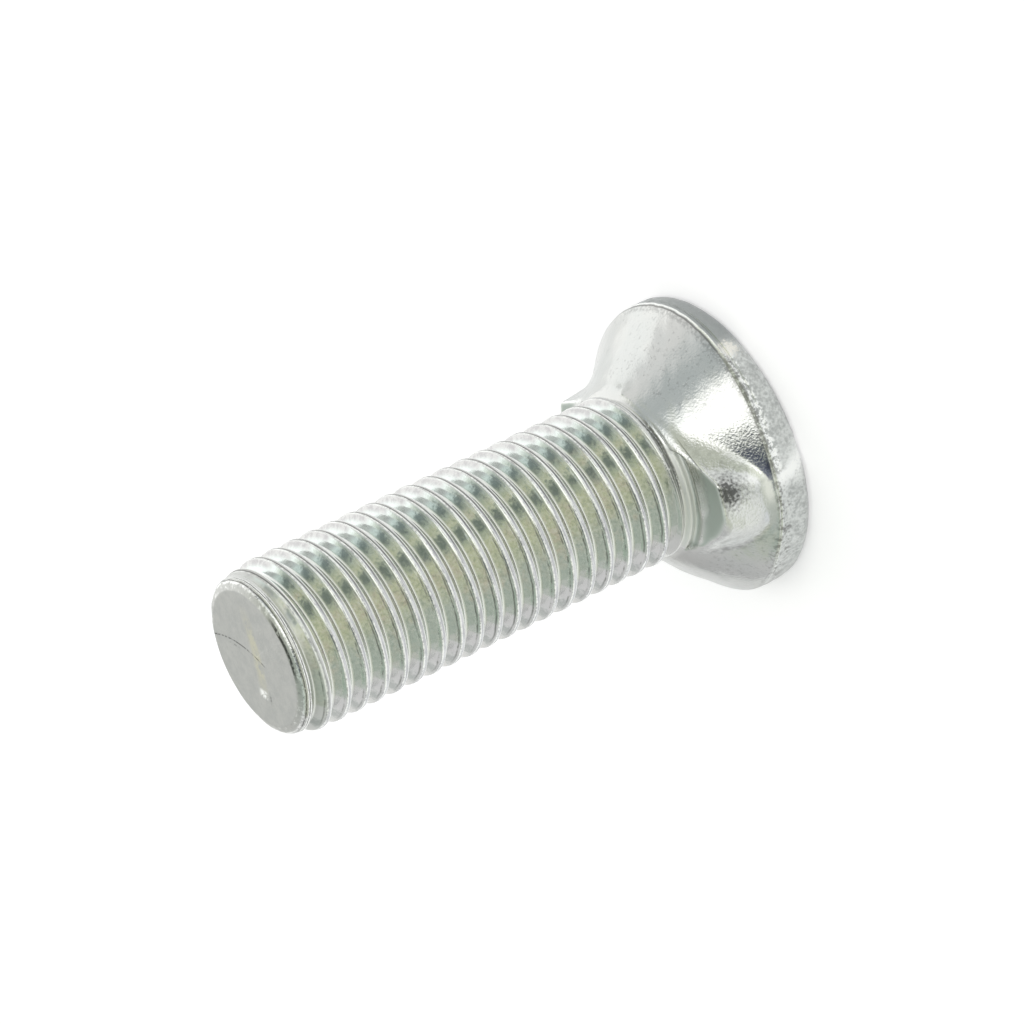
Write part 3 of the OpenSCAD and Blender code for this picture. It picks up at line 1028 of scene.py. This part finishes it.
def lip_marks(n, colour):
    """Marks along the lip, by the depth under it: a bright line, which is a painted highlight,
    with a fine dark one and a dulled cone edge over it where the flash stands up, a ragged dark
    band with bright flecks on the other side, and dark specks beside the first nib's fuller
    flank."""
    under = n.plus(n.mask("under_lip"), n.times(n.wander, 1.5))
    upper, lower = n.sector(*UPPER_LIP), n.sector(*LOWER_LIP)
    grain = n.plus(n.times(n.mottle, 0.6), n.times(n.speckle, 0.4))
    dulled = n.times(n.line(under, -0.30, 0.34), upper, n.step(n.speckle, 0.66, 0.40), 0.50)
    colour = n.mix(dulled, colour, SKIN_DEEP)
    highlit = n.without(n.most(lower, n.times(n.sector(*LIP_FAINT), 0.75)))
    broken = n.times(n.step(n.mottle, 0.25, 0.50), highlit)
    # Painted highlight: the bright line along the lip
    bright = n.times(n.line(under, 0.13, 0.14), n.most(upper, broken))
    flecks = n.times(n.line(under, 0.62, 0.55), n.sector(*LIP_FLECKS), n.step(grain, 0.46, 0.54))
    colour = n.mix(n.most(bright, n.times(flecks, 0.9)), colour, BRIGHT)
    band = n.times(n.line(n.plus(under, n.swing(grain, 1.6)), 0.04, 0.46), lower, 0.58)
    band = n.times(band, n.step(n.speckle, 0.68, 0.46))
    fine = n.times(n.line(under, -0.07, 0.09), upper, 0.75)
    specks = n.times(n.line(under, 0.40, 1.10), n.sector(*LIP_SPECKS))
    specks = n.times(specks, n.step(grain, 0.495, 0.42), 0.62)
    return n.mix(n.most(band, specks, fine), colour, LIP_DARK)


def nib_marks(n, colour):
    """Painted shade on the side past the first nib's fuller flank; painted light on the foot of
    its nose, with a painted highlight; a painted highlight on the strip of the neck on the end
    faces; and a pale spot of painted light on the nose."""
    shade = n.times(n.sector(*CONE_SHADE), n.step(n.z, NECK_Z + 0.2, NECK_Z - 0.3))
    colour = n.mix(n.times(shade, 0.60), colour, SKIN_SHADE)
    # Painted light on the first nose's foot, brightest where its highlights are painted
    foot = n.mix(n.step(n.nib_highlight, 0.15, 1.0), FOOT_PAINTED_PALE, FOOT_HIGHLIGHT)
    colour = n.mix(n.times(n.mask("foot"), 0.85), colour, foot)
    # Painted highlight on the neck's strip above the nibs' end faces
    colour = n.mix(n.times(n.neck, 0.55), colour, BRIGHT)
    # Painted light: a pale spot on the first nib's nose
    nose_light = n.spot(NOSE_LIGHT_PLACE, NOSE_LIGHT_R, n.swing(n.mottle, 3.0))
    return n.mix(n.times(nose_light, n.off_nib, 0.35), colour, BRIGHT)


def cone_marks(n, colour):
    """Painted shade in the crease at the first nib's foot, a cream painted highlight on the rim,
    and the cone's small dents."""
    # Painted shade in the crease at the first nib's foot
    crease_shade = n.times(n.mask("crease_shade"), n.step(n.mottle, 0.60, 0.38), 0.62)
    colour = n.mix(crease_shade, colour, SKIN_DEEP)
    # Painted highlight: a cream spot on the rim
    cream_highlight = n.spot(CREAM_HIGHLIGHT_PLACE, CREAM_HIGHLIGHT_R, n.swing(n.speckle, 2.0))
    colour = n.mix(n.times(cream_highlight, 0.8), colour, CREAM_HIGHLIGHT)
    on_cone = n.times(n.step(n.z, 8.0, 7.4), n.without(n.forged))
    dented = n.most(*(n.sector(*side) for side in CONE_DENTS))
    dents = n.times(n.step(n.noise(0.40, 3.0, 0.7), 0.565, 0.66), dented, on_cone)
    return n.mix(n.times(dents, 0.36), colour, SKIN_DEEP)


def collar_speckles(n, colour):
    """Dark and bright speckles on the tip's collar."""
    collar = n.step(n.z, LENGTH - 1.0, LENGTH - 0.9)
    colour = n.mix(n.times(collar, n.step(n.grain, 0.46, 0.34), 0.6), colour, SKIN_DEEP)
    return n.mix(n.times(collar, n.step(n.grain, 0.52, 0.64), 0.6), colour, BRIGHT)


def scorch_share(n):
    """A scorched spot on the first nib's nose, with a thinner edge about it."""
    ragged = n.swing(n.speckle, 3.4)
    halo = n.times(n.spot(SCORCH_PLACE, SCORCH_HALO_R, ragged), 0.50, n.off_nib)
    scorch = n.times(n.spot(SCORCH_PLACE, SCORCH_R, ragged), 0.85, n.off_nib)
    return n.most(scorch, halo)


def end_face_colour(n):
    """The tip's flat end and its marks: a curved scratch y = 0.68 - 0.045 (x + 3)^2 with a short
    second one beside it, a short straight one, a yellowish streak x = 0.52 - 0.019 (y + 1.9)^2
    and a rubbed spot."""
    colour = n.mix(n.step(n.mottle, 0.3, 0.7), END_DARK, END_LIGHT)
    arc = n.times(n.math("POWER", n.plus(n.x, 3.0), 2.0), 0.045)
    off = n.minus(n.minus(0.68, arc), n.y)
    scratch = n.times(n.line(off, 0.0, 0.11), n.step(n.x, 1.8, 1.2), n.step(n.speckle, 0.38, 0.56))
    second = n.times(n.line(off, 0.42, 0.09), n.line(n.x, -3.2, 1.1), n.step(n.speckle, 0.40, 0.55))
    off = n.minus(n.plus(n.times(n.plus(n.y, 2.84), 0.1), 1.5), n.x)
    short = n.times(n.line(off, 0.0, 0.18), n.line(n.y, -3.5, 0.95), n.step(n.speckle, 0.35, 0.55))
    arc = n.times(n.math("POWER", n.plus(n.y, 1.9), 2.0), 0.019)
    off = n.minus(n.minus(0.52, arc), n.x)
    streak = n.times(n.line(off, 0.0, 0.95), n.line(n.y, 0.6, 5.0), n.step(n.mottle, 0.30, 0.55))
    spot = n.times(n.line(n.x, 0.35, 0.85), n.line(n.y, -3.38, 0.62), n.step(n.speckle, 0.34, 0.52))
    colour = n.mix(n.times(streak, 0.6), colour, STREAK)
    colour = n.mix(spot, colour, BRIGHT)
    marks = n.most(n.times(scratch, 0.8), n.times(n.most(second, short), 0.5))
    return n.mix(marks, colour, RESIDUE_AND_SHADE)


def roughness(n):
    """Glossy zinc, over which each part sets its own roughness in turn. The thread's last groove
    and the neck's strip are at least as rough as the grooves' value."""
    gloss = n.blend(n.speckle, *PLAIN_GLOSS)
    for part, value in PART_GLOSS.items():
        gloss = n.blend(getattr(n, part), gloss, value)
    grooves = n.most(n.line(n.z, LENGTH - 1.9, 1.1), n.neck)
    return n.most(gloss, n.times(grooves, GROOVE_GLOSS))


def relief(n):
    """Height in millimetres: fine grain, the forging's peel, the rolled crests and their seam."""
    plain = n.without(n.on_thread)
    rougher = n.blend(n.times(plain, n.sector(27, 6, 14)), 0.0, GRAIN_ROUGHER)
    depth = n.plus(n.blend(plain, GRAIN_THREAD, GRAIN_PLAIN), rougher)
    grain = n.times(n.noise(0.22, 1.5, 0.6), depth)
    peel = n.times(n.mottle, n.blend(n.forged, n.blend(plain, PEEL_THREAD, PEEL_PLAIN), PEEL_FORGED))
    height = n.plus(grain, n.plus(peel, n.times(n.rolled, n.crest, ROLLED_H)))
    return n.minus(height, n.times(n.seam, n.on_thread, SEAM_DEPTH))


def zinc_plating():
    """Bright zinc with a thin film on the thread's flanks, whose tints by side are partly painted
    reflection, crests dulled between painted highlights on their edges, residue and painted shade
    in the grooves, and the forging's skin on rim and nibs, with painted highlights and painted
    shade on the head. Lengths in millimetres."""
    material, tree, shader = new_material("zinc_plating")
    n = BoltNodes(tree)
    n.lap, n.seam, n.edges = lap_line(n), seam_line(n), edge_highlight_share(n)
    colour = forged_skin(n, plain_colour(n))
    for layer in (lip_marks, nib_marks, cone_marks, collar_speckles):
        colour = layer(n, colour)
    colour = n.mix(n.most(residue_and_shade_share(n), scorch_share(n)), colour, RESIDUE_AND_SHADE)
    colour = n.mix(n.end_face, colour, end_face_colour(n))
    bump = node(tree, "ShaderNodeBump")
    n.fill(bump, {"Strength": 1.0, "Distance": BUMP_UNIT_M, "Height": relief(n)})
    n.fill(shader, {"Base Color": colour, "Metallic": 1.0, "Roughness": roughness(n)})
    n.fill(shader, {"Normal": bump.outputs["Normal"]})
    return material


def white_paper():
    """Matt white paper that takes the bolt's shadow. What the camera, a reflection or clear glass
    sees of it is lifted to white by a glow of its own, which lights nothing."""
    paper, tree, shader = new_material("white_paper")
    n = Nodes(tree)
    ray = node(tree, "ShaderNodeLightPath").outputs
    seen = n.most(ray["Is Camera Ray"], n.most(ray["Is Glossy Ray"], ray["Is Transmission Ray"]))
    n.fill(shader, {"Base Color": (*PAPER, 1), "Roughness": 1.0, "Specular IOR Level": 0.0})
    n.fill(shader, {"Emission Color": (1, 1, 1, 1), "Emission Strength": n.times(seen, PAPER_GLOW)})
    return paper


# ---- floor, light and camera


def direction(azimuth, elevation):
    """Unit vector at an azimuth from +X and an elevation above the floor, in degrees."""
    a, e = math.radians(azimuth), math.radians(elevation)
    return math.cos(e) * math.cos(a), math.cos(e) * math.sin(a), math.sin(e)


def paper_floor():
    """A square of paper at height 0."""
    mesh = bpy.data.meshes.new("floor")
    half = PAPER_HALF_M
    corners = [(-half, -half, 0), (half, -half, 0), (half, half, 0), (-half, half, 0)]
    mesh.from_pydata(corners, [], [(0, 1, 2, 3)])
    mesh.materials.append(white_paper())
    return placed("floor", mesh)


def studio_world():
    """A plain soft room: one colour overhead, and on it broad sides of light and dark, each mixed
    in by the cosine of the angle to its middle."""
    world = bpy.data.worlds.new("studio")
    world.use_nodes = True
    tree = world.node_tree
    tree.nodes.clear()
    n = Nodes(tree)
    way = node(tree, "ShaderNodeTexCoord").outputs["Generated"]
    background = node(tree, "ShaderNodeBackground")
    output = node(tree, "ShaderNodeOutputWorld")
    tree.links.new(background.outputs[0], output.inputs[0])
    room = ROOM_COLOUR
    for name, azimuth, elevation, inner, outer, colour in STUDIO_SIDES:
        dot = node(tree, "ShaderNodeVectorMath", operation="DOT_PRODUCT", label=name)
        n.feed(dot.inputs[0], way)
        n.feed(dot.inputs[1], direction(azimuth + CAMERA_AZIMUTH, elevation))
        ended, full = math.cos(math.radians(outer)), math.cos(math.radians(inner))
        room = n.mix(n.step(dot.outputs["Value"], ended, full), room, colour)
    n.fill(background, {"Color": room, "Strength": 1.0})
    return world


def aimed_camera():
    """A camera at its distance from the target, at an azimuth from +X and an elevation above the
    floor, turned about its own line of sight by the roll."""
    data = bpy.data.cameras.new("camera")
    data.sensor_width = SENSOR_MM
    data.lens = LENS_MM
    data.clip_start = 0.01
    data.clip_end = 20.0
    camera = placed("camera", data)
    a = math.radians(CAMERA_AZIMUTH)
    back = Vector(direction(CAMERA_AZIMUTH, CAMERA_ELEVATION))
    right = Vector((-math.sin(a), math.cos(a), 0))
    up = back.cross(right)
    turn = Matrix.Rotation(math.radians(CAMERA_ROLL), 3, back)
    axes = Matrix((turn @ right, turn @ up, back)).transposed()
    place = Vector(CAMERA_TARGET) / MM_PER_M + back * CAMERA_DISTANCE / MM_PER_M
    camera.matrix_world = Matrix.Translation(place) @ axes.to_4x4()
    return camera


bolt = build_bolt()
bolt.data.materials.append(zinc_plating())
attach(bolt, "root")
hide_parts("plow_bolt")

floor = paper_floor()

scene = bpy.context.scene
scene.world = studio_world()
scene.camera = aimed_camera()
scene.view_settings.view_transform = "Standard"
